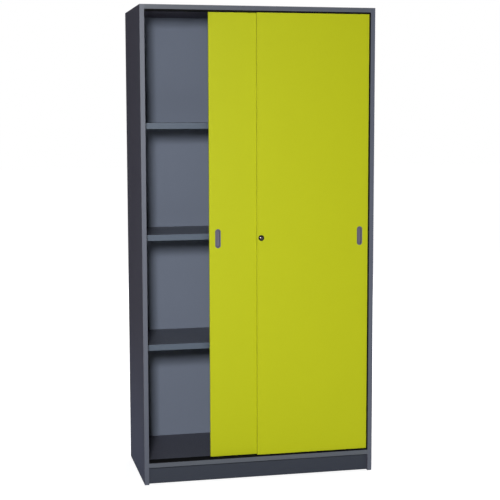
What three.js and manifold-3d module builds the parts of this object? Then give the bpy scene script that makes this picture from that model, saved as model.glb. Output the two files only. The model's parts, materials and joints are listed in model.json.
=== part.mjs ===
// A tall office cabinet with two sliding doors that pass each other, three shelves and a push lock.
// Millimetres, +X to the right, +Y into the cabinet, +Z up. The origin is on the floor, under the middle.

import * as THREE from 'three';
import { mergeVertices } from 'three/addons/utils/BufferGeometryUtils.js';
import Module from 'manifold-3d';

const wasm = await Module();
wasm.setup();

// Whole cabinet
const width = 960;
const depth = 450;
const height = 1920;

// Boards
const boardThickness = 18;
const shelfThickness = 24;
const doorThickness = 12;
const backThickness = 8;
const backInset = 8; // outer face of the back panel in front of the rear edges
const grooveDepth = 8; // how far the back panel reaches into its groove
const edgingThickness = 1;

// Base
const glideHeight = 3;
const glideRadius = 8;
const glideNailRadius = 1.5;
const glideNailLength = 10;
const glideInset = 30; // from the front and rear edges of a side panel
const plinthHeight = 73; // underside of the bottom panel above the floor
const plinthRecess = 18;

// Shelves
const lowestShelfRise = 473; // top of the lowest shelf above the bottom panel
const shelfSpacing = 448;
const shelfSetback = 71;
const shelfPlay = 1; // at each end and at the back
const pinRowInset = 37; // from the front and rear edges of a shelf
const pinHoleRadius = 2.5;
const pinHoleDepth = 9;
const pinHolePitch = 32;
const pinTabLength = 8;
const pinTabWidth = 10;
const pinTabHeight = 6;

// Doors
const doorSetback = 10; // face of the right door behind the front of the cabinet
const doorGap = 4; // between the two doors
const doorOverlap = 20; // with both doors closed
const doorEndGap = 4; // between a closed door and the side panel
const leftDoorOpening = 254; // how far the left door stands open
const gripHeight = 995; // handles and lock above the floor

// Tracks
const trackMargin = 7; // track in front of the right door and behind the left door
const trackBase = 1.5;
const trackLip = 1.5;
const topTrackHeight = 6;
const bottomTrackHeight = 4;
const railWidth = 2;
const trackScrewShares = [-0.42, 0, 0.42]; // along the inside width, from the middle
const trackScrewLength = 14;
const aboveTrack = 2; // bottom edge of a door above the bottom track
const belowTrack = 1; // top edge of a door below the top track

// Rollers and guides
const rollerInset = 70; // from the end of a door to the axle
const wheelRadius = 10;
const wheelGroove = 1;
const wheelWidth = 5;
const wheelGap = 0.4;
const trunnionRadius = 2; // stub axles moulded with the wheel
const housingLength = 46;
const housingThickness = 8;
const housingHeight = 24;
const guideLength = 46;
const guideThickness = 8;
const guideDepth = 20;
const guideChamfer = 3;
const guideSidePlay = 1.5;
const guideTopPlay = 1;

// Rubber stops of the doors
const bufferRadius = 4;
const bufferShare = 0.5; // of a door's height

// Handle shells
const handleWidth = 23;
const handleHeight = 78;
const handleInset = 35; // from the outer end of a door to the middle of the handle
const handleRim = 2;
const handleRimThickness = 1.2;
const handleWall = 1.6;

// Push lock
const lockInset = 17; // from the left end of the right door
const lockTravel = 6;
const rosetteRadius = 12;
const rosetteThickness = 2;
const lockFlangeRadius = 10.8;
const lockFlangeThickness = 1.2;
const lockBarrelRadius = 9.5;
const lockBackWall = 2.8;
const lockNutRadius = 13.4;
const lockNutThickness = 3;
const lockNutSides = 6;
const cylinderRadius = 7.6;
const cylinderReach = 5.5; // in front of the flange
const lockPinRadius = 3;
const lockPinClearance = 0.5; // between the pushed pin and the left door
const plugRadius = 4.5;
const plugLength = 8;
const plugProud = 0.3;
const keySlotWidth = 1.3;
const keySlotHeight = 6;
const keySlotDepth = 5;
const strikeWidth = 11;
const strikeHeight = 40;
const strikeThickness = 2;
const strikePlay = 1; // between the strike and the pushed pin
const strikeScrewSpacing = 26;
const strikeScrewLength = 10;

// Screw holes
const screwHeadRadius = 2.8;
const screwHeadHeight = 1.5;
const screwShankRadius = 1.6;

// Clearances
const fitGap = 0.3; // round or cut pieces in their seats
const overrun = 1; // cutting tools past the faces that they open

// Facets
const fineSides = 28;
const wheelSides = 20;
const smallSides = 12;
const holeSides = 10;
const handleEndSteps = 8;

// Places that follow from the sizes
const innerWidth = width - 2 * boardThickness;
const innerHalf = innerWidth / 2;
const bottomTop = plinthHeight + boardThickness;
const topUnderside = height - boardThickness;
const backFace = depth - backInset - backThickness;
const doorBottom = bottomTop + bottomTrackHeight + aboveTrack;
const doorTop = topUnderside - topTrackHeight - belowTrack;
const doorHeight = doorTop - doorBottom;
const doorWidth = (innerWidth - 2 * doorEndGap + doorOverlap) / 2;
const doorCentreWhenShut = innerHalf - doorEndGap - doorWidth / 2;
const leftDoorSetback = doorSetback + doorThickness + doorGap;
const doorPlanes = [doorSetback + doorThickness / 2, leftDoorSetback + doorThickness / 2];
const trackFront = doorSetback - trackMargin;
const trackBack = leftDoorSetback + doorThickness + trackMargin;
const grooveRadius = wheelRadius - wheelGroove;
const axleRise = grooveRadius + fitGap - aboveTrack;
const shelfNames = ['lower_shelf', 'middle_shelf', 'upper_shelf'];
const shelfTops = shelfNames.map((_, index) => bottomTop + lowestShelfRise + index * shelfSpacing);
const shelfRows = [shelfSetback + pinRowInset, backFace - shelfPlay - pinRowInset];
const glideRows = [glideInset, depth - glideInset];
const sideMiddle = innerHalf + boardThickness / 2;
const bothSides = [-1, 1];
const sideWords = ['left', 'right'];
const rowWords = ['front', 'rear'];

// Materials
function finish(colour, roughness, metalness) {
  return new THREE.MeshStandardMaterial({ color: colour, roughness, metalness });
}

const finishes = {
  anthracite: finish(0x5a5d68, 0.55, 0),
  anthraciteEdge: finish(0x666a75, 0.5, 0),
  lime: finish(0xb9bf21, 0.45, 0),
  limeEdge: finish(0xaab01e, 0.45, 0),
  track: finish(0x101012, 0.4, 0),
  nylon: finish(0x1b1b1e, 0.35, 0),
  rubber: finish(0x161617, 0.85, 0),
  handle: finish(0x7d7b88, 0.4, 0),
  wheel: finish(0x28282a, 0.3, 0),
  blackNickel: finish(0x2c292a, 0.18, 1),
  nickel: finish(0x6a6762, 0.3, 1),
  steel: finish(0x9c9ea2, 0.35, 1),
  zinc: finish(0x8d8f93, 0.45, 1),
};

// Directions
const toRight = new THREE.Vector3(1, 0, 0);
const toLeft = new THREE.Vector3(-1, 0, 0);
const toBack = new THREE.Vector3(0, 1, 0);
const up = new THREE.Vector3(0, 0, 1);
const down = new THREE.Vector3(0, 0, -1);

function outward(side) {
  return side > 0 ? toRight : toLeft;
}

// Basic shapes

// A box between two values on each axis, in either order.
function block(x, y, z) {
  const spans = [x, y, z];
  const size = spans.map(([from, to]) => Math.abs(to - from));
  const centre = spans.map(([from, to]) => (from + to) / 2);
  return new THREE.BoxGeometry(...size).translate(...centre);
}

// A turned piece: pairs of radius and distance, in order along the direction on the outside.
function turned(profile, direction, sides) {
  const points = profile.map(([radius, distance]) => new THREE.Vector2(radius, distance));
  const turn = new THREE.Quaternion().setFromUnitVectors(toBack, direction);
  return new THREE.LatheGeometry(points, sides).applyQuaternion(turn);
}

function rod(radius, from, to, direction, sides) {
  return turned([[0, from], [radius, from], [radius, to], [0, to]], direction, sides);
}

function ring(inner, outer, from, to, direction, sides) {
  const profile = [[inner, from], [outer, from], [outer, to], [inner, to], [inner, from]];
  return turned(profile, direction, sides);
}

// An upright bar with round ends, from one depth to another.
function oblong(across, tall, fromY, toY) {
  const radius = across / 2;
  const straight = tall / 2 - radius;
  const outline = new THREE.Shape();
  outline.absarc(0, straight, radius, 0, Math.PI, false);
  outline.absarc(0, -straight, radius, Math.PI, 2 * Math.PI, false);
  const options = { depth: toY - fromY, bevelEnabled: false, curveSegments: handleEndSteps };
  return new THREE.ExtrudeGeometry(outline, options).rotateX(Math.PI / 2).translate(0, toY, 0);
}

// Solids

function toSolid(geometry) {
  const bare = geometry.clone();
  bare.deleteAttribute('normal');
  bare.deleteAttribute('uv');
  const merged = mergeVertices(bare);
  const corners = merged.index.array;
  const kept = [];
  for (let start = 0; start < corners.length; start += 3) {
    const triangle = [corners[start], corners[start + 1], corners[start + 2]];
    if (new Set(triangle).size === triangle.length) kept.push(...triangle);
  }
  const vertProperties = new Float32Array(merged.attributes.position.array);
  return new wasm.Manifold(new wasm.Mesh({ numProp: 3, vertProperties, triVerts: new Uint32Array(kept) }));
}

function toGeometry(solid) {
  const mesh = solid.getMesh();
  const geometry = new THREE.BufferGeometry();
  geometry.setAttribute('position', new THREE.BufferAttribute(mesh.vertProperties, 3));
  geometry.setIndex(new THREE.BufferAttribute(mesh.triVerts, 1));
  geometry.computeVertexNormals();
  return geometry;
}

function cut(geometry, tools) {
  const start = toSolid(geometry);
  return toGeometry(tools.reduce((solid, tool) => solid.subtract(toSolid(tool)), start));
}

function join(geometries) {
  const [first, ...others] = geometries.map(toSolid);
  return toGeometry(others.reduce((solid, other) => solid.add(other), first));
}

function at(geometry, x, y, z) {
  return geometry.clone().translate(x, y, z);
}

function addPiece(group, name, material, geometry, x = 0, y = 0, z = 0) {
  const mesh = new THREE.Mesh(geometry, material);
  mesh.name = name;
  mesh.position.set(x, y, z);
  group.add(mesh);
}

// A countersunk hole whose mouth is at the origin.
function screwHole(length, direction) {
  const profile = [
    [0, -overrun],
    [screwHeadRadius, -overrun],
    [screwHeadRadius, 0],
    [screwShankRadius, screwHeadHeight],
    [screwShankRadius, length],
    [0, length],
  ];
  return turned(profile, direction, holeSides);
}

// Carcass

const backGroove = [backFace - fitGap, backFace + backThickness + fitGap];

function shelfPinHoles(side) {
  const hole = rod(pinHoleRadius, -overrun, pinHoleDepth, outward(side), holeSides);
  const steps = [-1, 0, 1];
  return shelfTops.flatMap((top) => {
    const rise = top - shelfThickness - pinTabHeight / 2;
    const rises = steps.map((step) => rise + step * pinHolePitch);
    return shelfRows.flatMap((row) => rises.map((z) => at(hole, side * innerHalf, row, z)));
  });
}

function glideHoles(side) {
  const nail = rod(glideNailRadius + fitGap, -overrun, glideNailLength + fitGap, up, holeSides);
  return glideRows.map((row) => at(nail, side * sideMiddle, row, glideHeight));
}

function addSidePanel(group, side, word) {
  const across = [side * innerHalf, side * width / 2];
  const rise = [glideHeight, height];
  const panel = block(across, [edgingThickness, depth], rise);
  const grooveX = [side * (innerHalf - overrun), side * (innerHalf + grooveDepth + fitGap)];
  const grooveRise = [bottomTop - grooveDepth - fitGap, topUnderside + grooveDepth + fitGap];
  const tools = [block(grooveX, backGroove, grooveRise), ...shelfPinHoles(side), ...glideHoles(side)];
  addPiece(group, `${word}_side_panel`, finishes.anthracite, cut(panel, tools));
  addPiece(group, `${word}_side_edging`, finishes.anthraciteEdge, block(across, [0, edgingThickness], rise));
}

const trackMiddle = (leftDoorSetback + doorSetback + doorThickness) / 2;

function trackScrewRows() {
  const frontRow = (trackFront + trackLip + doorPlanes[0] - railWidth / 2) / 2;
  const backRow = (trackBack - trackLip + doorPlanes[1] + railWidth / 2) / 2;
  return [frontRow, backRow];
}

function trackScrewPlaces(rows, rise) {
  return trackScrewShares.flatMap((share) => rows.map((row) => [share * innerWidth, row, rise]));
}

const topScrewPlaces = trackScrewPlaces(doorPlanes, topUnderside - trackBase);
const bottomScrewPlaces = trackScrewPlaces(trackScrewRows(), bottomTop + trackBase);

// The top or the bottom panel, with its groove and its track's screw holes.
function addLevelPanel(group, word, underside, groove, screwHoles) {
  const across = [-innerHalf, innerHalf];
  const rise = [underside, underside + boardThickness];
  const panel = block(across, [edgingThickness, depth], rise);
  addPiece(group, `${word}_panel`, finishes.anthracite, cut(panel, [groove, ...screwHoles]));
  addPiece(group, `${word}_edging`, finishes.anthraciteEdge, block(across, [0, edgingThickness], rise));
}

function screwHoles(places, direction) {
  return places.map((place) => at(screwHole(trackScrewLength, direction), ...place));
}

function addTopAndBottom(group) {
  const past = [-innerHalf - overrun, innerHalf + overrun];
  const topGroove = block(past, backGroove, [topUnderside - overrun, topUnderside + grooveDepth + fitGap]);
  const bottomGroove = block(past, backGroove, [bottomTop - grooveDepth - fitGap, bottomTop + overrun]);
  addLevelPanel(group, 'top', topUnderside, topGroove, screwHoles(topScrewPlaces, up));
  addLevelPanel(group, 'bottom', plinthHeight, bottomGroove, screwHoles(bottomScrewPlaces, down));
}

function addBackPanel(group) {
  const halfWidth = innerHalf + grooveDepth;
  const rise = [bottomTop - grooveDepth, topUnderside + grooveDepth];
  const panel = block([-halfWidth, halfWidth], [backFace, backFace + backThickness], rise);
  addPiece(group, 'back_panel', finishes.anthracite, panel);
}

// Base

function glide() {
  const profile = [
    [0, -glideHeight],
    [glideRadius, -glideHeight],
    [glideRadius, 0],
    [glideNailRadius, 0],
    [glideNailRadius, glideNailLength],
    [0, glideNailLength],
  ];
  return turned(profile, up, smallSides);
}

function addBase(group) {
  const across = [-innerHalf, innerHalf];
  const rise = [glideHeight, plinthHeight];
  const frontBoard = block(across, [plinthRecess, plinthRecess + boardThickness], rise);
  const rearBoard = block(across, [depth - boardThickness, depth], rise);
  addPiece(group, 'front_plinth', finishes.anthracite, frontBoard);
  addPiece(group, 'rear_plinth', finishes.anthracite, rearBoard);
  bothSides.forEach((side, sideIndex) => {
    glideRows.forEach((row, rowIndex) => {
      const name = `floor_glide_${sideWords[sideIndex]}_${rowWords[rowIndex]}`;
      addPiece(group, name, finishes.nylon, glide(), side * sideMiddle, row, glideHeight);
    });
  });
}

// Shelves

function shelfPin(side) {
  const stem = rod(pinHoleRadius - fitGap, 0, pinHoleDepth - fitGap, outward(side), holeSides);
  const halfWidth = pinTabWidth / 2;
  const halfHeight = pinTabHeight / 2;
  const tab = block([0, -side * pinTabLength], [-halfWidth, halfWidth], [-halfHeight, halfHeight]);
  return join([stem, tab]);
}

function addShelf(group, name, top) {
  const underside = top - shelfThickness;
  const across = [shelfPlay - innerHalf, innerHalf - shelfPlay];
  const board = block(across, [shelfSetback, backFace - shelfPlay], [underside, top]);
  const pinRise = underside - pinTabHeight / 2;
  addPiece(group, name, finishes.anthracite, board);
  bothSides.forEach((side, sideIndex) => {
    shelfRows.forEach((row, rowIndex) => {
      const pinName = `${name}_pin_${sideWords[sideIndex]}_${rowWords[rowIndex]}`;
      addPiece(group, pinName, finishes.nylon, shelfPin(side), side * innerHalf, row, pinRise);
    });
  });
}

// Tracks

function addTracks(group) {
  const across = [-innerHalf, innerHalf];
  const past = [-innerHalf - overrun, innerHalf + overrun];
  const deep = [trackFront, trackBack];

  const topRise = [topUnderside - topTrackHeight, topUnderside];
  const channelHalf = guideThickness / 2 + guideSidePlay;
  const channelRise = [topUnderside - topTrackHeight - overrun, topUnderside - trackBase];
  const channels = doorPlanes.map((y) => block(past, [y - channelHalf, y + channelHalf], channelRise));
  const topTools = [...channels, ...screwHoles(topScrewPlaces, up)];
  addPiece(group, 'top_track', finishes.track, cut(block(across, deep, topRise), topTools));

  const bottomRise = [bottomTop, bottomTop + bottomTrackHeight];
  const troughRise = [bottomTop + trackBase, bottomTop + bottomTrackHeight + overrun];
  const railHalf = railWidth / 2;
  const lipHalf = trackLip / 2;
  const troughs = [
    [trackFront + trackLip, doorPlanes[0] - railHalf],
    [doorPlanes[0] + railHalf, trackMiddle - lipHalf],
    [trackMiddle + lipHalf, doorPlanes[1] - railHalf],
    [doorPlanes[1] + railHalf, trackBack - trackLip],
  ].map((span) => block(past, span, troughRise));
  const bottomTools = [...troughs, ...screwHoles(bottomScrewPlaces, down)];
  addPiece(group, 'bottom_track', finishes.track, cut(block(across, deep, bottomRise), bottomTools));
}

// Rubber stops on both side panels, in the plane of each door.
function addBuffers(group) {
  const rise = doorBottom + bufferShare * doorHeight;
  ['right_door', 'left_door'].forEach((door, doorIndex) => {
    bothSides.forEach((side, sideIndex) => {
      const stop = rod(bufferRadius, fitGap - doorEndGap, 0, outward(side), smallSides);
      const name = `${door}_buffer_${sideWords[sideIndex]}`;
      addPiece(group, name, finishes.rubber, stop, side * innerHalf, doorPlanes[doorIndex], rise);
    });
  });
}

// Doors
// A door's own frame has its origin at the middle of its bottom edge, on its front face.

const doorHalf = doorWidth / 2;
const doorMiddle = doorThickness / 2;
const rollerPlaces = [rollerInset - doorHalf, doorHalf - rollerInset];
const gripRise = gripHeight - doorBottom;

// The block that fills a mortise in the edge of a door, or the mortise itself with some play.
function edgeInsert(length, thickness, from, to, play) {
  const halfLength = length / 2 + play;
  const halfThickness = thickness / 2 + play;
  const deep = [doorMiddle - halfThickness, doorMiddle + halfThickness];
  return block([-halfLength, halfLength], deep, [from, to]);
}

function rollerHousing() {
  const body = edgeInsert(housingLength, housingThickness, 0, housingHeight, 0);
  const slotTop = axleRise + wheelRadius + overrun;
  const slot = edgeInsert(2 * (wheelRadius + wheelGap), wheelWidth, -overrun, slotTop, wheelGap);
  const bore = rod(trunnionRadius + fitGap, -overrun, doorThickness + overrun, toBack, holeSides);
  return cut(body, [slot, at(bore, 0, 0, axleRise)]);
}

// A wheel with stub axles and a groove that rides the rail, turned about its own middle.
function wheel() {
  const end = housingThickness / 2;
  const half = wheelWidth / 2;
  const grooveHalf = railWidth / 2 + fitGap;
  const shoulder = grooveHalf + fitGap;
  const profile = [
    [0, -end],
    [trunnionRadius, -end],
    [trunnionRadius, -half],
    [wheelRadius, -half],
    [wheelRadius, -shoulder],
    [grooveRadius, -grooveHalf],
    [grooveRadius, grooveHalf],
    [wheelRadius, shoulder],
    [wheelRadius, half],
    [trunnionRadius, half],
    [trunnionRadius, end],
    [0, end],
  ];
  return turned(profile, toBack, wheelSides);
}

// A nylon guide in the top edge, with chamfered ends where it runs in the track.
function topGuide() {
  const half = guideLength / 2;
  const rise = topTrackHeight - trackBase + belowTrack - guideTopPlay;
  const outline = new THREE.Shape();
  outline.moveTo(-half, -guideDepth);
  outline.lineTo(half, -guideDepth);
  outline.lineTo(half, rise - guideChamfer);
  outline.lineTo(half - guideChamfer, rise);
  outline.lineTo(guideChamfer - half, rise);
  outline.lineTo(-half, rise - guideChamfer);
  const guide = new THREE.ExtrudeGeometry(outline, { depth: guideThickness, bevelEnabled: false });
  return guide.rotateX(Math.PI / 2).translate(0, doorMiddle + guideThickness / 2, 0);
}

function handleShell() {
  const front = -handleRimThickness;
  const back = doorThickness - fitGap;
  const rims = 2 * handleRim;
  const walls = 2 * (handleRim + handleWall);
  const rim = oblong(handleWidth, handleHeight, front, 0);
  const cup = oblong(handleWidth - rims, handleHeight - rims, front, back);
  const hollow = oblong(handleWidth - walls, handleHeight - walls, front - overrun, back - handleWall);
  return cut(join([rim, cup]), [hollow]);
}

function handleSlot() {
  const across = handleWidth - 2 * handleRim + 2 * fitGap;
  const tall = handleHeight - 2 * handleRim + 2 * fitGap;
  return oblong(across, tall, -overrun, doorThickness + overrun);
}

// One door with its edging, handle, rollers and guides; extra tools cut the panel for its lock fittings.
function addDoor(group, word, handleSide, panelTools) {
  const handleX = handleSide * (doorHalf - handleInset);
  const halfCore = doorHalf - edgingThickness;
  const deep = [0, doorThickness];
  const coreRise = [edgingThickness, doorHeight - edgingThickness];
  const core = block([-halfCore, halfCore], deep, coreRise);
  const strips = [
    block([-doorHalf, -halfCore], deep, [0, doorHeight]),
    block([halfCore, doorHalf], deep, [0, doorHeight]),
    block([-halfCore, halfCore], deep, [0, edgingThickness]),
    block([-halfCore, halfCore], deep, [doorHeight - edgingThickness, doorHeight]),
  ];
  const rollerMortise = edgeInsert(housingLength, housingThickness, -overrun, housingHeight + fitGap, fitGap);
  const guideFloor = doorHeight - guideDepth - fitGap;
  const guideMortise = edgeInsert(guideLength, guideThickness, guideFloor, doorHeight + overrun, fitGap);
  const mortises = rollerPlaces.flatMap((x) => [at(rollerMortise, x, 0, 0), at(guideMortise, x, 0, 0)]);
  const slot = at(handleSlot(), handleX, 0, gripRise);
  addPiece(group, `${word}_panel`, finishes.lime, cut(core, [...mortises, slot, ...panelTools]));
  addPiece(group, `${word}_edging`, finishes.limeEdge, cut(join(strips), mortises));
  addPiece(group, `${word}_handle`, finishes.handle, handleShell(), handleX, 0, gripRise);

  rollerPlaces.forEach((x, index) => {
    const end = sideWords[index];
    addPiece(group, `${word}_roller_housing_${end}`, finishes.nylon, rollerHousing(), x, 0, 0);
    addPiece(group, `${word}_wheel_${end}`, finishes.wheel, wheel(), x, doorMiddle, axleRise);
    addPiece(group, `${word}_top_guide_${end}`, finishes.nylon, topGuide(), x, 0, doorHeight);
  });
}

// Lock
// Distances run from the right door's face, positive into the door.

const lockX = lockInset - doorHalf;
const flangeBack = -rosetteThickness;
const flangeFront = flangeBack - lockFlangeThickness;
const barrelBack = doorThickness - fitGap;
const boreEnd = barrelBack - lockBackWall;
const nutSeat = barrelBack - lockNutThickness;
const cylinderFront = flangeFront - cylinderReach;
const cylinderBack = boreEnd - lockTravel - fitGap;
const pinEnd = doorThickness + doorGap - lockPinClearance - lockTravel;
const plugFront = cylinderFront - plugProud;

function lockDoorTools() {
  const through = rod(lockBarrelRadius + fitGap, -overrun, doorThickness + overrun, toBack, fineSides);
  const counterbore = rod(lockNutRadius + 2 * fitGap, nutSeat, doorThickness + overrun, toBack, fineSides);
  return [through, counterbore].map((tool) => at(tool, lockX, 0, gripRise));
}

function addLock(group) {
  const place = [lockX, 0, gripRise];
  const housingProfile = [
    [cylinderRadius + fitGap, flangeFront],
    [lockFlangeRadius, flangeFront],
    [lockFlangeRadius, flangeBack],
    [lockBarrelRadius, flangeBack],
    [lockBarrelRadius, barrelBack],
    [lockPinRadius + fitGap, barrelBack],
    [lockPinRadius + fitGap, boreEnd],
    [cylinderRadius + fitGap, boreEnd],
    [cylinderRadius + fitGap, flangeFront],
  ];
  addPiece(group, 'lock_housing', finishes.blackNickel, turned(housingProfile, toBack, fineSides), ...place);

  const rosette = ring(lockBarrelRadius + fitGap, rosetteRadius, flangeBack, 0, toBack, fineSides);
  addPiece(group, 'lock_rosette', finishes.blackNickel, rosette, ...place);

  const hexagon = rod(lockNutRadius, nutSeat, barrelBack, toBack, lockNutSides);
  const nutHole = rod(lockBarrelRadius + fitGap, nutSeat - overrun, barrelBack + overrun, toBack, fineSides);
  addPiece(group, 'lock_nut', finishes.zinc, cut(hexagon, [nutHole]), ...place);

  const plugBore = plugRadius + fitGap;
  const plugBack = plugFront + plugLength;
  const boreBack = plugBack + fitGap;
  const cylinderProfile = [
    [0, boreBack],
    [plugBore, boreBack],
    [plugBore, cylinderFront],
    [cylinderRadius, cylinderFront],
    [cylinderRadius, cylinderBack],
    [lockPinRadius, cylinderBack],
    [lockPinRadius, pinEnd],
    [0, pinEnd],
  ];
  addPiece(group, 'lock_cylinder', finishes.blackNickel, turned(cylinderProfile, toBack, fineSides), ...place);

  const plug = rod(plugRadius, plugFront, plugBack, toBack, fineSides);
  const slotHalf = keySlotWidth / 2;
  const slotRise = keySlotHeight / 2;
  const slotDeep = [plugFront - overrun, plugFront + keySlotDepth];
  const keySlot = block([-slotHalf, slotHalf], slotDeep, [-slotRise, slotRise]);
  addPiece(group, 'lock_plug', finishes.nickel, cut(plug, [keySlot]), ...place);
}

// The strike stands on the left door's face, just left of the pushed pin when both doors are shut.
const strikeRight = doorHalf - doorOverlap + lockInset - lockPinRadius - strikePlay;
const strikeX = strikeRight - strikeWidth / 2;
const strikeScrewPlaces = bothSides.map((side) => {
  return [strikeX, -strikeThickness, gripRise + side * strikeScrewSpacing / 2];
});

function strikeHoles() {
  return strikeScrewPlaces.map((place) => at(screwHole(strikeScrewLength, toBack), ...place));
}

function addStrike(group) {
  const half = strikeHeight / 2;
  const across = [strikeRight - strikeWidth, strikeRight];
  const plate = block(across, [-strikeThickness, 0], [gripRise - half, gripRise + half]);
  addPiece(group, 'lock_strike', finishes.steel, cut(plate, strikeHoles()));
}

// Assembly

const carcass = new THREE.Group();
addSidePanel(carcass, -1, 'left');
addSidePanel(carcass, 1, 'right');
addTopAndBottom(carcass);
addBackPanel(carcass);
addBase(carcass);
shelfNames.forEach((name, index) => addShelf(carcass, name, shelfTops[index]));
addTracks(carcass);
addBuffers(carcass);

const leftDoor = new THREE.Group();
leftDoor.position.set(leftDoorOpening - doorCentreWhenShut, leftDoorSetback, doorBottom);
addDoor(leftDoor, 'left_door', -1, strikeHoles());
addStrike(leftDoor);

const rightDoor = new THREE.Group();
rightDoor.position.set(doorCentreWhenShut, doorSetback, doorBottom);
addDoor(rightDoor, 'right_door', 1, lockDoorTools());
addLock(rightDoor);

// Inside the cabinet group, y is the distance behind the front edges.
const cabinet = new THREE.Group();
cabinet.add(carcass, leftDoor, rightDoor);
cabinet.position.y = -depth / 2;

export default cabinet;
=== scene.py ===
"""Looks of a tall office cabinet with two sliding doors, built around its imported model.
Metres, +X to the right, +Y to the back, +Z up, with the origin on the floor under the middle."""

import json
import math

import bmesh
import bpy
from mathutils import Matrix, Vector


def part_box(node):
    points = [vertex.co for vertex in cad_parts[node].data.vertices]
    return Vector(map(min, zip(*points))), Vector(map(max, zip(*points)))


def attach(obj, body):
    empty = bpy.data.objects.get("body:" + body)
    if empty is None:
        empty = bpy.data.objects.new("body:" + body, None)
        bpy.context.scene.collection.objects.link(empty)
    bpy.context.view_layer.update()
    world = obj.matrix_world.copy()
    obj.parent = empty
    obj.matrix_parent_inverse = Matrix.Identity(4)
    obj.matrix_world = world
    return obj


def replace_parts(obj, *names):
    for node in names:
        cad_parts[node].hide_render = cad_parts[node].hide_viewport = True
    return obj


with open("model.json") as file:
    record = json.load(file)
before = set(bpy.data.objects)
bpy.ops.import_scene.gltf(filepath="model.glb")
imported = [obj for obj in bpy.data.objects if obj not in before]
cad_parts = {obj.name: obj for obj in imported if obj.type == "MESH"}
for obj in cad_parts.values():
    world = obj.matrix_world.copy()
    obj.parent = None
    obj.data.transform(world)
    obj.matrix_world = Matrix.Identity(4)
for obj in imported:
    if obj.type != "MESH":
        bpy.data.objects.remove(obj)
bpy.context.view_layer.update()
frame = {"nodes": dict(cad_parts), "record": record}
NODES = frame["nodes"]
MM = 0.001

# Camera, solved from the corners of the cabinet in the photograph
IMAGE_SIDE = 500  # pixels
FOCAL_LENGTH = 1233.6  # pixels
SENSOR = 36.0  # millimetres
CAMERA_PLACE = (-1.1347, -5.0559, 1.4849)  # metres
CAMERA_YAW = 12.74  # degrees to the right
CAMERA_PITCH = -6.18  # degrees, up is positive
CAMERA_ROLL = -0.13  # degrees
CLIP_START = 0.1  # metres
CLIP_END = 200.0  # metres

# Light
WHITE = (1.0, 1.0, 1.0, 1.0)
WORLD_LIGHT = 0.03
LAMPS = {  # place and aim in metres, width and height of the lamp, watts, and degrees where a grid limits it
    "front_softbox": {
        "place": (-1.38, -4.7, 2.03),
        "aim": (-0.6, -2.0, -0.8),
        "size": (0.45, 0.75),
        "watts": 217.0,
    },
    "rear_softbox": {
        "place": (2.5, 5.0, 2.8),
        "aim": (0.0, 0.0, 0.9),
        "size": (3.0, 2.0),
        "watts": 200.0,
    },
    "right_softbox": {
        "place": (5.5, 1.0, 2.6),
        "aim": (0.0, 0.0, 0.9),
        "size": (2.5, 2.0),
        "watts": 160.0,
    },
    "side_grid": {  # faint and blue, on the foot of the left side alone
        "place": (-1.6, 0.0, 0.12),
        "aim": (-0.48, 0.0, 0.05),
        "size": (0.4, 0.1),
        "watts": 0.3,
        "colour": (0.5, 0.77, 1.0),
        "spread": 60.0,
    },
    "top_softbox": {
        "place": (0.4, 1.2, 4.2),
        "aim": (0.1, 0.2, 1.9),
        "size": (1.5, 1.5),
        "watts": 45.0,
    },
}
FLOOR_SIDE = 60.0  # metres
FLOOR_COLOUR = 0.55
FLOOR_ROUGHNESS = 0.9
FLOOR_GLOW = {  # strengths, and reaches in metres
    "near": 0.80,
    "near_reach": 1.2,
    "far": 1.0,
    "far_reach": 4.0,
}


def srgb(red, green, blue):
    """A colour from 0 to 255, as linear values with alpha."""
    shares = [value / 255 for value in (red, green, blue)]
    return tuple(s / 12.92 if s <= 0.04045 else ((s + 0.055) / 1.055) ** 2.4 for s in shares) + (1.0,)


# Materials

NOISE_RANGE = (0.3, 0.7)  # where most of a noise lies

# Scales of X, Y and Z under a noise, which a small one draws out
EVEN_GRAIN = (1.0, 1.0, 1.0)
UP_GRAIN = (1.0, 1.0, 0.02)
ACROSS_GRAIN = (0.02, 1.0, 1.0)
DRAW_LINES = (0.01, 1.0, 1.0)

# Heights of the reliefs
BOARD_WAVE = 0.25 * MM
BOARD_PEARL = 0.11 * MM
BOARD_GRAIN = 0.03 * MM
EDGING_SCRAPE = 0.03 * MM
TRACK_LINE = 0.03 * MM
NYLON_GRAIN = 0.04 * MM
WHEEL_GRAIN = 0.02 * MM
RUBBER_GRAIN = 0.08 * MM
HANDLE_GRAIN = 0.03 * MM
MACHINED_MARK = 0.01 * MM
SATIN_MARK = 0.006 * MM
POLISHED_MARK = 0.002 * MM


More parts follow.
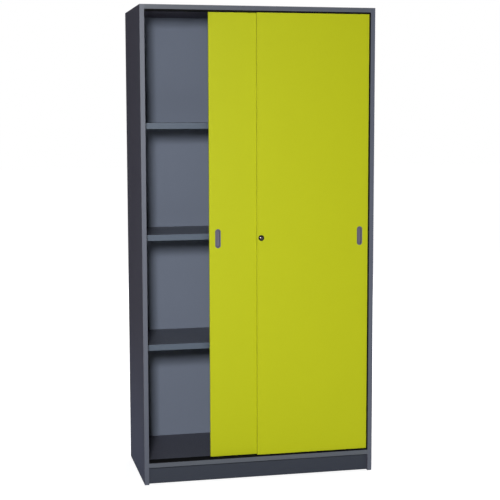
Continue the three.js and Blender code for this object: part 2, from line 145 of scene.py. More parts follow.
class Finish:
    """A node material around one Principled shader."""

    def __init__(self, name, colour, roughness, metallic=0.0, specular=0.5):
        self.material = bpy.data.materials.new(name)
        self.material.use_nodes = True
        self.tree = self.material.node_tree
        self.shader = self.tree.nodes["Principled BSDF"]
        self.colour = colour
        self.roughness = roughness
        self.set("Base Color", colour)
        self.set("Roughness", roughness)
        self.set("Metallic", metallic)
        self.set("Specular IOR Level", specular)
        self.tinted = colour
        self.normal = None
        self.coordinates = self.add("ShaderNodeTexCoord").outputs["Object"]

    def set(self, socket, value):
        self.shader.inputs[socket].default_value = value

    def add(self, kind, **settings):
        node = self.tree.nodes.new(kind)
        for name, value in settings.items():
            setattr(node, name, value)
        return node

    def link(self, source, target):
        self.tree.links.new(source, target)

    def noise(self, scale, detail=3.0, grain=EVEN_GRAIN):
        """Noise of so many cells to the metre, drawn out along an axis whose scale is small."""
        mapping = self.add("ShaderNodeMapping")
        mapping.inputs["Scale"].default_value = grain
        self.link(self.coordinates, mapping.inputs["Vector"])
        node = self.add("ShaderNodeTexNoise")
        node.inputs["Scale"].default_value = scale
        node.inputs["Detail"].default_value = detail
        self.link(mapping.outputs["Vector"], node.inputs["Vector"])
        return node.outputs["Fac"]

    def cells(self, scale):
        """Soft round cells, so many to the metre."""
        node = self.add("ShaderNodeTexVoronoi", feature="SMOOTH_F1")
        node.inputs["Scale"].default_value = scale
        self.link(self.coordinates, node.inputs["Vector"])
        return node.outputs["Distance"]

    def spread(self, noise, low, high):
        """The noise, stretched from its usual range to another."""
        node = self.add("ShaderNodeMapRange")
        node.inputs["From Min"].default_value = NOISE_RANGE[0]
        node.inputs["From Max"].default_value = NOISE_RANGE[1]
        node.inputs["To Min"].default_value = low
        node.inputs["To Max"].default_value = high
        self.link(noise, node.inputs["Value"])
        return node.outputs["Result"]

    def mixed(self, factor, first, second):
        """A colour between two colours, each a fixed one or a node's output."""
        node = self.add("ShaderNodeMix", data_type="RGBA")
        for name, value in (("Factor", factor), ("A", first), ("B", second)):
            if isinstance(value, bpy.types.NodeSocket):
                self.link(value, node.inputs[name])
            else:
                node.inputs[name].default_value = value
        return node.outputs["Result"]

    def tint(self, noise, amount):
        """Makes the colour darker and lighter by a share, as the noise goes down and up."""
        darker = tuple(c * (1 - amount) for c in self.colour[:3]) + (1.0,)
        lighter = tuple(c * (1 + amount) for c in self.colour[:3]) + (1.0,)
        self.tinted = self.mixed(self.spread(noise, 0.0, 1.0), darker, lighter)
        self.link(self.tinted, self.shader.inputs["Base Color"])

    def edged(self, colour, front):
        """Shows another colour in front of a plane across Y, as an edge strip has. Comes after tint."""
        place = self.add("ShaderNodeSeparateXYZ")
        self.link(self.coordinates, place.inputs["Vector"])
        ahead = self.add("ShaderNodeMath", operation="LESS_THAN")
        ahead.inputs[1].default_value = front
        self.link(place.outputs["Y"], ahead.inputs[0])
        both = self.mixed(ahead.outputs["Value"], self.tinted, colour)
        self.link(both, self.shader.inputs["Base Color"])

    def vary_roughness(self, noise, amount):
        varied = self.spread(noise, self.roughness - amount, self.roughness + amount)
        self.link(varied, self.shader.inputs["Roughness"])

    def bump(self, relief, height, strength):
        """Adds a relief of so many metres to those before it."""
        node = self.add("ShaderNodeBump")
        node.inputs["Strength"].default_value = strength
        node.inputs["Distance"].default_value = height
        self.link(relief, node.inputs["Height"])
        if self.normal is not None:
            self.link(self.normal, node.inputs["Normal"])
        self.normal = node.outputs["Normal"]
        self.link(self.normal, self.shader.inputs["Normal"])


def melamine(name, colour, roughness, specular, edging_colour=None, edging_back=0.0):
    """Board with a fine pearl relief, and an edge strip in front of a plane if it has one."""
    finish = Finish(name, colour, roughness, specular=specular)
    finish.tint(finish.noise(scale=700.0, detail=4.0), amount=0.03)
    if edging_colour is not None:
        finish.edged(edging_colour, edging_back)
    finish.vary_roughness(finish.noise(scale=260.0), amount=0.06)
    finish.bump(finish.noise(scale=14.0, detail=2.0), height=BOARD_WAVE, strength=0.35)
    finish.bump(finish.cells(scale=1100.0), height=BOARD_PEARL, strength=0.8)
    finish.bump(finish.noise(scale=3200.0, detail=2.0), height=BOARD_GRAIN, strength=0.6)
    return finish.material


def edging(name, colour, along, roughness, specular):
    """Edge strip with faint scraping marks along its length."""
    finish = Finish(name, colour, roughness, specular=specular)
    finish.tint(finish.noise(scale=20.0, detail=2.0), amount=0.02)
    finish.vary_roughness(finish.noise(scale=700.0, grain=along), amount=0.06)
    finish.bump(finish.noise(scale=1800.0, grain=along), height=EDGING_SCRAPE, strength=0.5)
    return finish.material


def moulded(name, colour, roughness, specular=0.4, cells=900.0, relief=NYLON_GRAIN):
    """Moulded plastic with a fine spark-eroded grain, of so many cells to the metre."""
    finish = Finish(name, colour, roughness, specular=specular)
    finish.tint(finish.noise(scale=60.0, detail=2.0), amount=0.03)
    finish.vary_roughness(finish.noise(scale=cells / 2), amount=0.05)
    finish.bump(finish.noise(scale=cells, detail=2.0), height=relief, strength=0.5)
    return finish.material


def extruded(name, colour, roughness, specular):
    """Extruded track with draw lines along X."""
    finish = Finish(name, colour, roughness, specular=specular)
    finish.tint(finish.noise(scale=300.0, grain=ACROSS_GRAIN), amount=0.12)
    finish.vary_roughness(finish.noise(scale=900.0, grain=DRAW_LINES), amount=0.08)
    finish.bump(finish.noise(scale=1600.0, grain=DRAW_LINES), height=TRACK_LINE, strength=0.6)
    return finish.material


def metal(name, colour, roughness, grain=EVEN_GRAIN, relief=MACHINED_MARK, tint=0.04):
    """Metal with fine machining marks."""
    finish = Finish(name, colour, roughness, metallic=1.0)
    finish.tint(finish.noise(scale=120.0, detail=2.0), amount=tint)
    finish.vary_roughness(finish.noise(scale=1500.0, grain=grain), amount=min(0.05, roughness / 2))
    finish.bump(finish.noise(scale=2600.0, grain=grain), height=relief, strength=0.4)
    return finish.material


EDGING_THICKNESS = 1.0 * MM
SHELF_EDGING_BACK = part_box("upper_shelf")[0].y + EDGING_THICKNESS

BOARD = melamine("anthracite_board", srgb(91, 90, 103), roughness=0.8, specular=0.01)
BOTTOM = melamine("anthracite_bottom", srgb(78, 79, 90), roughness=0.4, specular=0.15)
SHELF = melamine("anthracite_shelf", srgb(80, 82, 93), roughness=0.4, specular=0.4,
                 edging_colour=srgb(72, 84, 99), edging_back=SHELF_EDGING_BACK)
PLINTH = melamine("anthracite_plinth", srgb(62, 66, 76), roughness=0.7, specular=0.05)
BACK = melamine("anthracite_back", srgb(115, 123, 139), roughness=0.7, specular=0.05)
LIME_BOARD = melamine("lime_board", srgb(185, 191, 22), roughness=0.5, specular=0.15)
UPRIGHT_EDGING = edging("anthracite_upright_edging", srgb(57, 63, 79), UP_GRAIN,
                        roughness=0.4, specular=0.75)
# Painted light: the same edging as the upright strips, as a lighter and less glossy copy for the top and
# bottom strips, so that they show the tone the light gives them there.
PAINTED_LIGHT_LEVEL_EDGING = edging("anthracite_level_edging_painted_light", srgb(76, 81, 91), ACROSS_GRAIN,
                      roughness=0.4, specular=0.45)
LIME_EDGING = edging("lime_edging", srgb(188, 194, 36), UP_GRAIN, roughness=0.42, specular=0.15)
TRACK = extruded("track_black", srgb(15, 15, 16), roughness=0.5, specular=0.03)
NYLON = moulded("nylon_black", srgb(34, 34, 37), roughness=0.4)
WHEEL = moulded("wheel_nylon", srgb(40, 40, 42), roughness=0.3, relief=WHEEL_GRAIN)
RUBBER = moulded("stop_rubber", srgb(20, 20, 21), roughness=0.9, specular=0.1,
                 cells=1400.0, relief=RUBBER_GRAIN)
HANDLE = moulded("handle_grey", srgb(103, 100, 115), roughness=0.42, specular=0.2,
                 cells=1600.0, relief=HANDLE_GRAIN)
# Painted reflection: the button, rosette, barrel and key plug are given near-black metal colours in place of
# the dark surroundings that bright plated metal would mirror; the lamp still gives the glint.
LOCK_METAL_PAINTED_DARK = metal("lock_black_nickel", srgb(53, 50, 52), roughness=0.11,
                     relief=POLISHED_MARK, tint=0.02)
LOCK_SATIN_METAL_PAINTED_DARK = metal("lock_satin_metal_painted_dark", srgb(34, 31, 33), roughness=0.24, relief=SATIN_MARK)
PLUG_METAL_PAINTED_DARK = metal("plug_nickel", srgb(78, 74, 69), roughness=0.28)
STEEL = metal("lock_steel", srgb(170, 171, 175), roughness=0.3, grain=UP_GRAIN)
SCREW_ZINC = metal("screw_zinc", srgb(150, 151, 156), roughness=0.32)


# Finishes of the CAD pieces

BY_NODE = {
    "lower_shelf": SHELF,
    "middle_shelf": SHELF,
    "upper_shelf": SHELF,
    "bottom_panel": BOTTOM,
    "front_plinth": PLINTH,
    "rear_plinth": PLINTH,
    "back_panel": BACK,
    # The top and bottom strips take the lighter copy of the edging, which is painted light.
    "top_edging": PAINTED_LIGHT_LEVEL_EDGING,
    "bottom_edging": PAINTED_LIGHT_LEVEL_EDGING,
}
BY_SLOT = {
    "anthracite_board": BOARD,
    "anthracite_edging": UPRIGHT_EDGING,
    "lime_board": LIME_BOARD,
    "lime_edging": LIME_EDGING,
    "track_black": TRACK,
    "nylon_black": NYLON,
    "wheel_nylon": WHEEL,
    "stop_rubber": RUBBER,
    "handle_grey": HANDLE,
    # The lock's near-black metal is a painted reflection of dark surroundings.
    "lock_black_nickel": LOCK_METAL_PAINTED_DARK,
    "lock_steel": STEEL,
    "plug_nickel": PLUG_METAL_PAINTED_DARK,
}
SOFTENED = {  # width of the rounding along sharp edges
    "anthracite_board": 0.5 * MM,
    "anthracite_edging": 0.4 * MM,
    "lime_board": 0.3 * MM,
    "lime_edging": 0.4 * MM,
    "track_black": 0.25 * MM,
    "nylon_black": 0.4 * MM,
    "lock_steel": 0.25 * MM,
}
SOFTENED_ANGLE = 50.0  # degrees, from where an edge counts as sharp
SOFTENED_STEPS = 2


def soften(piece, width):
    bevel = piece.modifiers.new("softened edges", "BEVEL")
    bevel.width = width
    bevel.segments = SOFTENED_STEPS
    bevel.limit_method = "ANGLE"
    bevel.angle_limit = math.radians(SOFTENED_ANGLE)
    bevel.harden_normals = True


def dress(name, slot):
    """Gives a CAD piece its finish, and softens its sharp edges."""
    piece = NODES[name]
    piece.data.materials.clear()
    piece.data.materials.append(BY_NODE.get(name, BY_SLOT[slot]))
    if slot in SOFTENED:
        soften(piece, SOFTENED[slot])


for part in frame["record"]["subparts"]:
    dress(part["node"], part["material_slot"])


# Mesh helpers

WELD = 1e-7  # metres, points nearer than this are one
SMOOTH_ANGLE = 32.0  # degrees, from where an edge stays sharp
BROAD_SMOOTH_ANGLE = 40.0
ROUNDING_STEPS = 4


def middle(node):
    """The centre of a CAD piece's box."""
    low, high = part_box(node)
    return (low + high) / 2


def new_object(name, data):
    made = bpy.data.objects.new(name, data)
    bpy.context.scene.collection.objects.link(made)
    return made


def new_piece(name, mesh, finish, body):
    """A piece of its own, which rides on a body of the frame."""
    mesh.validate()
    piece = new_object(name, mesh)
    mesh.materials.append(finish)
    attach(piece, body)
    return piece


def smooth(mesh, degrees=SMOOTH_ANGLE):
    mesh.shade_smooth()
    mesh.set_sharp_from_angle(angle=math.radians(degrees))


def rounded(points, radius, steps=ROUNDING_STEPS):
    """The same outline with each inner corner replaced by a small curve."""
    made = [points[0]]
    for before, corner, after in zip(points, points[1:], points[2:]):
        before, corner, after = Vector(before), Vector(corner), Vector(after)
        reach = min(radius, (before - corner).length / 2, (after - corner).length / 2)
        start = corner + (before - corner).normalized() * reach
        end = corner + (after - corner).normalized() * reach
        for step in range(steps + 1):
            share = step / steps
            made.append(tuple(start.lerp(corner, share).lerp(corner.lerp(end, share), share)))
    made.append(points[-1])
    return made


def finished_mesh(build, name):
    """The mesh of a bmesh, which is freed."""
    mesh = bpy.data.meshes.new(name)
    build.to_mesh(mesh)
    build.free()
    return mesh


def lathe(profile, sides):
    """A mesh turned about Y. The profile holds pairs of radius and distance, and starts and ends on the axis
    or closes on itself."""
    build = bmesh.new()
    turns = [2 * math.pi * side / sides for side in range(sides)]
    rings = []
    for radius, distance in profile:
        if radius < WELD:
            rings.append([build.verts.new((0.0, distance, 0.0))])
            continue
        rings.append([build.verts.new((radius * math.cos(t), distance, radius * math.sin(t)))
                      for t in turns])
    for ring, following in zip(rings, rings[1:]):
        for side in range(sides):
            corner = (side + 1) % sides
            face = [ring[side % len(ring)], ring[corner % len(ring)],
                    following[corner % len(following)], following[side % len(following)]]
            kept = [v for index, v in enumerate(face) if v not in face[:index]]
            if len(kept) > 2:
                build.faces.new(kept)
    bmesh.ops.remove_doubles(build, verts=build.verts, dist=WELD)
    bmesh.ops.recalc_face_normals(build, faces=build.faces)
    return finished_mesh(build, "turned")


def loft(rings, closed=False):
    """A mesh through rings with as many points each. Flat faces cover the first and the last ring, or the
    last one repeats the first and the mesh closes on itself."""
    build = bmesh.new()
    made = [[build.verts.new(point) for point in ring] for ring in rings]
    for ring, following in zip(made, made[1:]):
        for index in range(len(ring)):
            after = (index + 1) % len(ring)
            build.faces.new([ring[index], ring[after], following[after], following[index]])
    if closed:
        bmesh.ops.remove_doubles(build, verts=build.verts, dist=WELD)
    else:
        build.faces.new(made[0])
        build.faces.new(made[-1])
    bmesh.ops.recalc_face_normals(build, faces=build.faces)
    return finished_mesh(build, "loft")


def box_mesh(low, high):
    build = bmesh.new()
    bmesh.ops.create_cube(build, size=1.0)
    size, centre = Vector(high) - Vector(low), (Vector(high) + Vector(low)) / 2
    for vert in build.verts:
        vert.co = Vector(c * s for c, s in zip(vert.co, size)) + centre
    return finished_mesh(build, "box")


def carve(mesh, tool):
    """The mesh less a tool mesh, worked out by a Boolean modifier, with no material yet."""
    piece = new_object("carved", mesh)
    cutter = new_object("cutter", tool)
    modifier = piece.modifiers.new("cut", "BOOLEAN")
    modifier.operation = "DIFFERENCE"
    modifier.solver = "EXACT"
    modifier.object = cutter
    bpy.context.view_layer.update()
    evaluated = piece.evaluated_get(bpy.context.evaluated_depsgraph_get())
    carved = bpy.data.meshes.new_from_object(evaluated)
    carved.materials.clear()
    for scratch in (piece, cutter):
        bpy.data.objects.remove(scratch)
    return carved


# Handle shells

HANDLE_STEPS = 24  # round each end
HANDLE_CORNER_STEPS = 5
HANDLE_RIM = 2.0 * MM
HANDLE_RIM_THICKNESS = 1.2 * MM
HANDLE_RIM_SLOPE = 0.2 * MM
HANDLE_WALL = 1.6 * MM
HANDLE_DRAFT = 0.9 * MM
HANDLE_BACK_SHARE = 0.55  # of half the width, where the flat middle of the back begins
HANDLE_FLOOR_SHARE = 0.75  # the same on the recess's floor
HANDLE_ROUNDINGS = {  # from the back of the cup over the rim to the recess's floor
    "back": 1.2 * MM,
    "seat": 0.15 * MM,
    "rim_back": 0.3 * MM,
    "rim_front": 0.6 * MM,
    "mouth": 0.8 * MM,
    "floor": 2.6 * MM,
}


def oblong_ring(half_width, half_height, y, centre):
    """A ring with round ends in the plane of the door."""
    straight = half_height - half_width
    points = []
    for end, start in ((1, 0.0), (-1, math.pi)):
        for step in range(HANDLE_STEPS + 1):
            turn = start + math.pi * step / HANDLE_STEPS
            x = centre.x + half_width * math.cos(turn)
            z = centre.z + end * straight + half_width * math.sin(turn)
            points.append((x, y, z))
    return points


def handle_profile(half_width, front, back):
    """Pairs of inset and place along Y, from the back of the cup over the rim to the recess's floor."""
    seat = front + HANDLE_RIM_THICKNESS
    floor = back - HANDLE_WALL
    inside = HANDLE_RIM + HANDLE_WALL
    corners = {
        "back": (HANDLE_RIM + HANDLE_DRAFT, back),
        "seat": (HANDLE_RIM, seat),
        "rim_back": (0.0, seat),
        "rim_front": (HANDLE_RIM_SLOPE, front),
        "mouth": (inside, front),
        "floor": (inside + HANDLE_DRAFT, floor),
    }
    start = (half_width * HANDLE_BACK_SHARE, back)
    end = (half_width * HANDLE_FLOOR_SHARE, floor)
    outline = [start, *corners.values(), end]
    made = [start]
    for index, name in enumerate(corners):
        made += rounded(outline[index:index + 3], HANDLE_ROUNDINGS[name], HANDLE_CORNER_STEPS)[1:-1]
    made.append(end)
    return made


def add_handle(node, body):
    low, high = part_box(node)
    half_width, half_height = (high.x - low.x) / 2, (high.z - low.z) / 2
    rings = [oblong_ring(half_width - inset, half_height - inset, y, middle(node))
             for inset, y in handle_profile(half_width, low.y, high.y)]
    mesh = loft(rings)
    smooth(mesh, BROAD_SMOOTH_ANGLE)
    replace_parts(new_piece(node + "_shell", mesh, HANDLE, body), node)


add_handle("left_door_handle", "left_door")
add_handle("right_door_handle", "right_door")


# Push lock

LOCK_SIDES = 96
LOCK_ROUNDING = 0.3 * MM
LOCK_PLAY = 0.3 * MM
LOCK_TRAVEL = 6.0 * MM
LOCK_BACK_WALL = 2.8 * MM
LOCK_BARREL_RADIUS = 9.5 * MM
LOCK_BARREL_ROUNDING = 0.35 * MM
LOCK_PIN_RADIUS = 3.0 * MM
CYLINDER_RADIUS = 7.6 * MM
ROSETTE_SLOPE = 1.2 * MM
ROSETTE_DOME_SHARE = 0.65  # of its thickness, where the slope meets the rim
BUTTON_SLOPE = 0.72 * MM  # from the plug out to the chamfer
BUTTON_CHAMFER = 0.5 * MM
BUTTON_ROUNDING = 0.15 * MM
BUTTON_GROOVE = 0.3 * MM
BUTTON_GROOVE_PLACE = 1.8 * MM  # behind the front of the button
KEY_SLOT_WIDTH = 1.3 * MM
KEY_SLOT_HEIGHT = 6.0 * MM
KEY_SLOT_DEPTH = 5.0 * MM
CUT_OVERRUN = 1.0 * MM
NUT_CHAMFER = 0.5 * MM
NUT_POINTS = 72
HALF_FLAT = math.pi / 6  # half the angle that one side of a hexagon takes up


def add_turned(name, node, profile, finish, body, rounding=LOCK_ROUNDING):
    """Replaces a node by a finer turned piece. The profile holds pairs of radius and distance along Y."""
    centre = middle(node)
    mesh = lathe(rounded(profile, rounding), LOCK_SIDES)
    mesh.transform(Matrix.Translation((centre.x, 0.0, centre.z)))
    smooth(mesh)
    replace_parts(new_piece(name, mesh, finish, body), node)


def add_rosette():
    """The outer ring, domed towards its rim, on the face of the door."""
    low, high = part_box("lock_rosette")
    outer = (high.x - low.x) / 2
    inner = LOCK_BARREL_RADIUS + LOCK_PLAY
    dome = low.y + ROSETTE_DOME_SHARE * (high.y - low.y)
    profile = [(inner, high.y), (inner, low.y), (outer - ROSETTE_SLOPE, low.y), (outer, dome),
               (outer, high.y), (inner, high.y)]
    add_turned("lock_rosette_ring", "lock_rosette", profile, LOCK_SATIN_METAL_PAINTED_DARK, "right_door")


def add_housing():
    """The barrel through the door, with its flange in front of the rosette and its back wall."""
    low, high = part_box("lock_housing")
    flange_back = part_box("lock_rosette")[0].y
    flange = (high.x - low.x) / 2
    bore, pin_bore = CYLINDER_RADIUS + LOCK_PLAY, LOCK_PIN_RADIUS + LOCK_PLAY
    bore_end = high.y - LOCK_BACK_WALL
    profile = [(bore, low.y), (flange, low.y), (flange, flange_back), (LOCK_BARREL_RADIUS, flange_back),
               (LOCK_BARREL_RADIUS, high.y), (pin_bore, high.y), (pin_bore, bore_end), (bore, bore_end),
               (bore, low.y)]
    add_turned("lock_barrel", "lock_housing", profile, LOCK_SATIN_METAL_PAINTED_DARK, "right_door",
               LOCK_BARREL_ROUNDING)


def add_cylinder():
    """The button that is pushed, with a fine groove behind its front edge, and its locking pin."""
    low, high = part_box("lock_cylinder")
    radius = (high.x - low.x) / 2
    plug_low, plug_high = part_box("lock_plug")
    plug_bore = (plug_high.x - plug_low.x) / 2 + LOCK_PLAY
    bore_back = plug_high.y + LOCK_PLAY
    body_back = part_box("lock_housing")[1].y - LOCK_BACK_WALL - LOCK_TRAVEL - LOCK_PLAY
    groove = low.y + BUTTON_GROOVE_PLACE
    edge = low.y + BUTTON_SLOPE
    profile = [(0.0, bore_back), (plug_bore, bore_back), (plug_bore, low.y), (radius - BUTTON_CHAMFER, edge),
               (radius, edge + BUTTON_CHAMFER), (radius, groove), (radius - BUTTON_GROOVE, groove),
               (radius - BUTTON_GROOVE, groove + BUTTON_GROOVE), (radius, groove + BUTTON_GROOVE),
               (radius, body_back), (LOCK_PIN_RADIUS, body_back), (LOCK_PIN_RADIUS, high.y), (0.0, high.y)]
    add_turned("lock_push_button", "lock_cylinder", profile, LOCK_METAL_PAINTED_DARK, "lock_cylinder",
               BUTTON_ROUNDING)


def add_plug():
    """The key plug, with its slot cut."""
    low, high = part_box("lock_plug")
    centre = middle("lock_plug")
    radius = (high.x - low.x) / 2
    profile = [(0.0, low.y), (radius, low.y), (radius, high.y), (0.0, high.y)]
    half_width, half_height = KEY_SLOT_WIDTH / 2, KEY_SLOT_HEIGHT / 2
    slot = box_mesh((-half_width, low.y - CUT_OVERRUN, -half_height),
                    (half_width, low.y + KEY_SLOT_DEPTH, half_height))
    mesh = carve(lathe(rounded(profile, LOCK_ROUNDING), LOCK_SIDES), slot)
    mesh.transform(Matrix.Translation((centre.x, 0.0, centre.z)))
    smooth(mesh)
    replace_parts(new_piece("lock_key_plug", mesh, PLUG_METAL_PAINTED_DARK, "lock_plug"), "lock_plug")


def hexagon_ring(corner, limit, y, centre):
    """A ring on a hexagon with its corners out to a radius, cut back to a circle."""
    points = []
    for index in range(NUT_POINTS):
        turn = 2 * math.pi * index / NUT_POINTS
        from_flat = (turn + HALF_FLAT) % (2 * HALF_FLAT) - HALF_FLAT
        reach = min(corner * math.cos(HALF_FLAT) / math.cos(from_flat), limit)
        points.append((centre.x + reach * math.cos(turn), y, centre.z + reach * math.sin(turn)))
    return points


def add_nut():
    """The hexagon nut at the back of the door, with its corners chamfered on both faces."""
    low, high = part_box("lock_nut")
    centre = middle("lock_nut")
    corner = (high.z - low.z) / 2
    flat = corner * math.cos(HALF_FLAT)
    hole = LOCK_BARREL_RADIUS + LOCK_PLAY
    beyond = hole * 2  # a hexagon wholly outside the hole, so that its ring is the hole's circle
    rings = [hexagon_ring(beyond, hole, high.y, centre),
             hexagon_ring(beyond, hole, low.y, centre),
             hexagon_ring(corner, flat, low.y, centre),
             hexagon_ring(corner, corner, low.y + NUT_CHAMFER, centre),
             hexagon_ring(corner, corner, high.y - NUT_CHAMFER, centre),
             hexagon_ring(corner, flat, high.y, centre),
             hexagon_ring(beyond, hole, high.y, centre)]
    mesh = loft(rings, closed=True)
    smooth(mesh)
    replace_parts(new_piece("lock_hexagon_nut", mesh, STEEL, "right_door"), "lock_nut")


add_rosette()
add_housing()
add_cylinder()
add_plug()
add_nut()


# Wheels, glides and stops

WHEEL_SIDES = 64
WHEEL_HALF_WIDTH = 2.5 * MM
WHEEL_ROUNDING = 0.25 * MM
WHEEL_ROUNDING_STEPS = 3
TRUNNION_RADIUS = 2.0 * MM
GROOVE_DEPTH = 1.0 * MM
GROOVE_FLOOR = 1.3 * MM  # half the groove's width at its floor
GROOVE_MOUTH = 1.6 * MM  # the same at the wheel's rim
FOOT_SIDES = 48
FOOT_HEIGHT = 3.0 * MM
FOOT_ROUNDING = 0.9 * MM
NAIL_RADIUS = 1.5 * MM
STOP_SIDES = 48
STOP_COLLAR_SHARE = 0.5  # of the stop's length, before it narrows
STOP_TIP_SHARE = 0.6  # of its radius, at its end
STOP_ROUNDING = 1.2 * MM


def add_wheel(node, body):
    """A wheel with a groove for the rail, and its two trunnions."""
    low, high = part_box(node)
    radius = (high.z - low.z) / 2
    end = (high.y - low.y) / 2
    half, trunnion, groove = WHEEL_HALF_WIDTH, TRUNNION_RADIUS, radius - GROOVE_DEPTH
    profile = [(0.0, -end), (trunnion, -end), (trunnion, -half), (radius, -half), (radius, -GROOVE_MOUTH),
               (groove, -GROOVE_FLOOR), (groove, GROOVE_FLOOR), (radius, GROOVE_MOUTH), (radius, half),
               (trunnion, half), (trunnion, end), (0.0, end)]
    mesh = lathe(rounded(profile, WHEEL_ROUNDING, WHEEL_ROUNDING_STEPS), WHEEL_SIDES)
    mesh.transform(Matrix.Translation(middle(node)))
    smooth(mesh)
    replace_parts(new_piece(node + "_turned", mesh, WHEEL, body), node)


for door in ("left_door", "right_door"):
    for end in ("left", "right"):
        wheel = f"{door}_wheel_{end}"
        add_wheel(wheel, wheel)


def add_glide(node):
    """A rounded foot under a side panel, with the nail that holds it."""
    low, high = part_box(node)
    centre = middle(node)
    radius = (high.x - low.x) / 2
    top = high.z - low.z
    profile = [(0.0, 0.0), (radius, 0.0), (radius, FOOT_HEIGHT), (NAIL_RADIUS, FOOT_HEIGHT),
               (NAIL_RADIUS, top), (0.0, top)]
    mesh = lathe(rounded(profile, FOOT_ROUNDING), FOOT_SIDES)
    mesh.transform(Matrix.Translation((centre.x, centre.y, low.z)) @ Matrix.Rotation(math.pi / 2, 4, "X"))
    smooth(mesh)
    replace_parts(new_piece(node + "_foot", mesh, NYLON, "carcass"), node)


for side in ("left", "right"):
    for row in ("front", "rear"):
        add_glide(f"floor_glide_{side}_{row}")


def add_buffer(node, side):
    """A domed rubber stop on the inside of a side panel."""
    low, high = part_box(node)
    centre = middle(node)
    radius = (high.z - low.z) / 2
    length = high.x - low.x
    profile = [(0.0, 0.0), (radius, 0.0), (radius, length * STOP_COLLAR_SHARE),
               (radius * STOP_TIP_SHARE, length), (0.0, length)]
    mesh = lathe(rounded(profile, STOP_ROUNDING), STOP_SIDES)
    wall = low.x if side == "left" else high.x
    turn = Matrix.Rotation(-math.pi / 2 if side == "left" else math.pi / 2, 4, "Z")
    mesh.transform(Matrix.Translation((wall, centre.y, centre.z)) @ turn)
    smooth(mesh)
    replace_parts(new_piece(node + "_dome", mesh, RUBBER, "carcass"), node)


for door in ("left_door", "right_door"):
    for side in ("left", "right"):
        add_buffer(f"{door}_buffer_{side}", side)


# Painted shade: black ribbed strips in the rubber finish on the side panels beside the ends of the doors,
# standing in for the shadow in the gaps there

STRIP_WIDTH = 22.6 * MM
STRIP_THICKNESS = 1.0 * MM
STRIP_AHEAD = 8.6 * MM  # in front of the door's face
RIB_PITCH = 3.0 * MM
RIB_HEIGHT = 0.5 * MM
RIB_FOOT_SHARE = 0.1  # of the pitch, where a rib rises
RIB_CREST_SHARE = 0.35  # of the pitch, where it has its full height


def strip_outline(wall, toward, front, back):
    """Points of X and Y round a flat profile with fine ribs on the side towards the doors."""
    ribs = int((back - front) / RIB_PITCH)
    pitch = (back - front) / ribs
    base = wall + toward * (STRIP_THICKNESS - RIB_HEIGHT)
    crest = wall + toward * STRIP_THICKNESS
    rise, full = RIB_FOOT_SHARE, RIB_CREST_SHARE
    rib = [(base, rise), (crest, full), (crest, 1 - full), (base, 1 - rise)]
    points = [(wall, front)]
    for index in range(ribs):
        points += [(x, front + (index + share) * pitch) for x, share in rib]
    points.append((wall, back))
    return points


def add_painted_shade_strip(side, toward):
    """A black strip from track to track beside the end of its door, painted shade in place of the shadow in
    the gap. Toward is 1 or -1, the way inwards.
    """
    low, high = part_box(f"{side}_side_panel")
    wall = high.x if toward > 0 else low.x
    top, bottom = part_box("top_track")[0].z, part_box("bottom_track")[1].z
    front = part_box(f"{side}_door_panel")[0].y - STRIP_AHEAD
    outline = strip_outline(wall, toward, front, front + STRIP_WIDTH)
    mesh = loft([[(x, y, z) for x, y in outline] for z in (bottom, top)])
    smooth(mesh, BROAD_SMOOTH_ANGLE)
    new_piece(f"{side}_painted_shade_strip", mesh, RUBBER, "carcass")


add_painted_shade_strip("left", 1)
add_painted_shade_strip("right", -1)


# Screws, as the screw holes in the tracks and the strike's plate

TRACK_SCREW_SHARES = (-0.42, 0.0, 0.42)  # of the track's length, from its middle
TRACK_BASE = 1.5 * MM
TRACK_LIP = 1.5 * MM
RAIL_WIDTH = 2.0 * MM
SCREW_SIDES = 40
SCREW_ROUNDING = 0.15 * MM
SCREW_ROUNDING_STEPS = 2
SCREW_HEAD_RADIUS = 2.7 * MM
SCREW_HEAD_HEIGHT = 1.45 * MM
SCREW_SHANK_RADIUS = 1.45 * MM
SCREW_TIP = 2.0 * MM
SCREW_TWIST = 37.0  # degrees from one screw to the next
TRACK_SCREW_LENGTH = 13.0 * MM
STRIKE_SCREW_LENGTH = 9.0 * MM
STRIKE_SCREW_SPACING = 26.0 * MM
RECESS_WIDTH = 0.55 * MM
RECESS_ENDS = [(-0.5 * MM, 1.9 * MM), (1.1 * MM, 0.7 * MM)]  # place along the screw and reach from its axis
DOOR_PLANES = [middle("right_door_panel").y, middle("left_door_panel").y]


def cross_ring(y, reach):
    """A ring of twelve points round a cross."""
    half = RECESS_WIDTH / 2
    corner = [(half, reach), (half, half), (reach, half)]
    ring = []
    for _ in range(4):
        ring += [(x, y, z) for x, z in corner]
        corner = [(z, -x) for x, z in corner]
    return ring


def screw_mesh(length):
    """A countersunk screw along +Y with its head's face at the origin."""
    profile = [(0.0, 0.0), (SCREW_HEAD_RADIUS, 0.0), (SCREW_SHANK_RADIUS, SCREW_HEAD_HEIGHT),
               (SCREW_SHANK_RADIUS, length - SCREW_TIP), (0.0, length)]
    recess = loft([cross_ring(y, reach) for y, reach in RECESS_ENDS])
    shape = lathe(rounded(profile, SCREW_ROUNDING, SCREW_ROUNDING_STEPS), SCREW_SIDES)
    mesh = carve(shape, recess)
    smooth(mesh)
    return mesh


def add_screws(name, places, direction, length, body):
    """Screws with their heads at the places, each with its cross at another angle."""
    pattern = screw_mesh(length)
    turn = Vector((0.0, 1.0, 0.0)).rotation_difference(Vector(direction)).to_matrix().to_4x4()
    for index, place in enumerate(places):
        mesh = pattern.copy()
        twist = Matrix.Rotation(math.radians(SCREW_TWIST * index), 4, "Y")
        mesh.transform(Matrix.Translation(place) @ turn @ twist)
        new_piece(f"{name}_{index + 1}", mesh, SCREW_ZINC, body)
    bpy.data.meshes.remove(pattern)


def track_screw_places(rows, z):
    """Places along a track in rows across it, at one height."""
    low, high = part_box("top_track")
    return [(share * (high.x - low.x), row, z) for share in TRACK_SCREW_SHARES for row in rows]


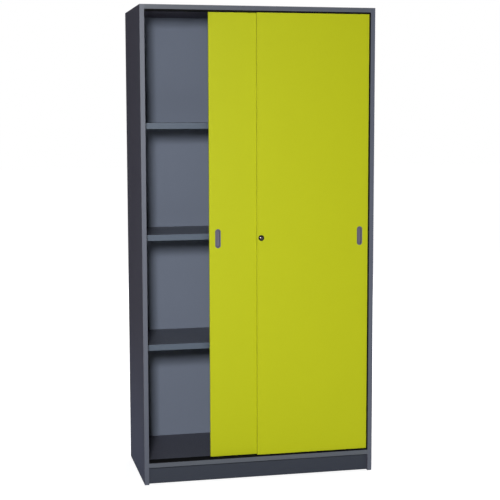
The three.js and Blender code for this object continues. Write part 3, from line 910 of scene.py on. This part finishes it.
def add_track_screws():
    """Three pairs in each track: over the doors, and beside the rails."""
    low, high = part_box("bottom_track")
    front_row = (low.y + TRACK_LIP + DOOR_PLANES[0] - RAIL_WIDTH / 2) / 2
    back_row = (high.y - TRACK_LIP + DOOR_PLANES[1] + RAIL_WIDTH / 2) / 2
    above = track_screw_places(DOOR_PLANES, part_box("top_track")[1].z - TRACK_BASE)
    below = track_screw_places([front_row, back_row], low.z + TRACK_BASE)
    add_screws("top_track_screw", above, (0.0, 0.0, 1.0), TRACK_SCREW_LENGTH, "carcass")
    add_screws("bottom_track_screw", below, (0.0, 0.0, -1.0), TRACK_SCREW_LENGTH, "carcass")


def add_strike_screws():
    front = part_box("lock_strike")[0].y
    centre = middle("lock_strike")
    places = [(centre.x, front, centre.z + end * STRIKE_SCREW_SPACING / 2) for end in (-1, 1)]
    add_screws("lock_strike_screw", places, (0.0, 1.0, 0.0), STRIKE_SCREW_LENGTH, "left_door")


add_track_screws()
add_strike_screws()


# Studio


def add_camera():
    camera = new_object("camera", bpy.data.cameras.new("camera"))
    camera.data.sensor_width = SENSOR
    camera.data.lens = FOCAL_LENGTH / IMAGE_SIDE * SENSOR
    camera.data.clip_start = CLIP_START
    camera.data.clip_end = CLIP_END
    yaw = Matrix.Rotation(-math.radians(CAMERA_YAW), 4, "Z")
    pitch = Matrix.Rotation(math.radians(90 + CAMERA_PITCH), 4, "X")
    roll = Matrix.Rotation(math.radians(CAMERA_ROLL), 4, "Z")
    camera.matrix_world = Matrix.Translation(CAMERA_PLACE) @ yaw @ pitch @ roll
    bpy.context.scene.camera = camera


def add_lamp(name, place, aim, size, watts, colour=WHITE[:3], spread=180.0):
    data = bpy.data.lights.new(name, "AREA")
    data.shape = "RECTANGLE"
    data.size, data.size_y = size
    data.energy = watts
    data.color = colour
    data.spread = math.radians(spread)
    lamp = new_object(name, data)
    lamp.location = place
    lamp.rotation_euler = (Vector(aim) - Vector(place)).to_track_quat("-Z", "Y").to_euler()


def seen_by_camera_or_mirror(tree):
    """1 for rays from the camera and those that metal or glass sends on, else 0."""
    path = tree.nodes.new("ShaderNodeLightPath")
    total = path.outputs["Is Camera Ray"]
    for output in ("Is Glossy Ray", "Is Transmission Ray"):
        node = tree.nodes.new("ShaderNodeMath")
        node.operation = "MAXIMUM"
        tree.links.new(total, node.inputs[0])
        tree.links.new(path.outputs[output], node.inputs[1])
        total = node.outputs[0]
    return total


def add_world():
    """A white background, and a faint light from all round."""
    world = bpy.data.worlds.new("studio")
    bpy.context.scene.world = world
    world.use_nodes = True
    tree = world.node_tree
    background = tree.nodes["Background"]
    background.inputs["Color"].default_value = WHITE
    strength = tree.nodes.new("ShaderNodeMapRange")
    strength.inputs["To Min"].default_value = WORLD_LIGHT
    strength.inputs["To Max"].default_value = 1.0
    tree.links.new(seen_by_camera_or_mirror(tree), strength.inputs["Value"])
    tree.links.new(strength.outputs["Result"], background.inputs["Strength"])


def floor_glow(tree):
    """What the floor adds to its lit colour, so that it goes over into the white background."""
    coordinates = tree.nodes.new("ShaderNodeTexCoord")
    distance = tree.nodes.new("ShaderNodeVectorMath")
    distance.operation = "LENGTH"
    tree.links.new(coordinates.outputs["Object"], distance.inputs[0])
    level = tree.nodes.new("ShaderNodeMapRange")
    level.interpolation_type = "SMOOTHSTEP"
    level.inputs["From Min"].default_value = FLOOR_GLOW["near_reach"]
    level.inputs["From Max"].default_value = FLOOR_GLOW["far_reach"]
    level.inputs["To Min"].default_value = FLOOR_GLOW["near"]
    level.inputs["To Max"].default_value = FLOOR_GLOW["far"]
    tree.links.new(distance.outputs["Value"], level.inputs["Value"])
    glow = tree.nodes.new("ShaderNodeMath")
    glow.operation = "MULTIPLY"
    tree.links.new(level.outputs["Result"], glow.inputs[0])
    tree.links.new(seen_by_camera_or_mirror(tree), glow.inputs[1])
    return glow.outputs[0]


def floor_finish():
    material = bpy.data.materials.new("pale_floor")
    material.use_nodes = True
    tree = material.node_tree
    shader = tree.nodes["Principled BSDF"]
    shader.inputs["Base Color"].default_value = (FLOOR_COLOUR, FLOOR_COLOUR, FLOOR_COLOUR, 1.0)
    shader.inputs["Roughness"].default_value = FLOOR_ROUGHNESS
    shader.inputs["Specular IOR Level"].default_value = 0.0
    shader.inputs["Emission Color"].default_value = WHITE
    tree.links.new(floor_glow(tree), shader.inputs["Emission Strength"])
    return material


def add_floor():
    half = FLOOR_SIDE / 2
    corners = [(-half, -half, 0.0), (half, -half, 0.0), (half, half, 0.0), (-half, half, 0.0)]
    mesh = bpy.data.meshes.new("floor")
    mesh.from_pydata(corners, [], [(0, 1, 2, 3)])
    mesh.materials.append(floor_finish())
    new_object("floor", mesh)


add_camera()
add_world()
add_floor()
for lamp_name, lamp in LAMPS.items():
    add_lamp(lamp_name, **lamp)
bpy.context.scene.view_settings.view_transform = "Standard"
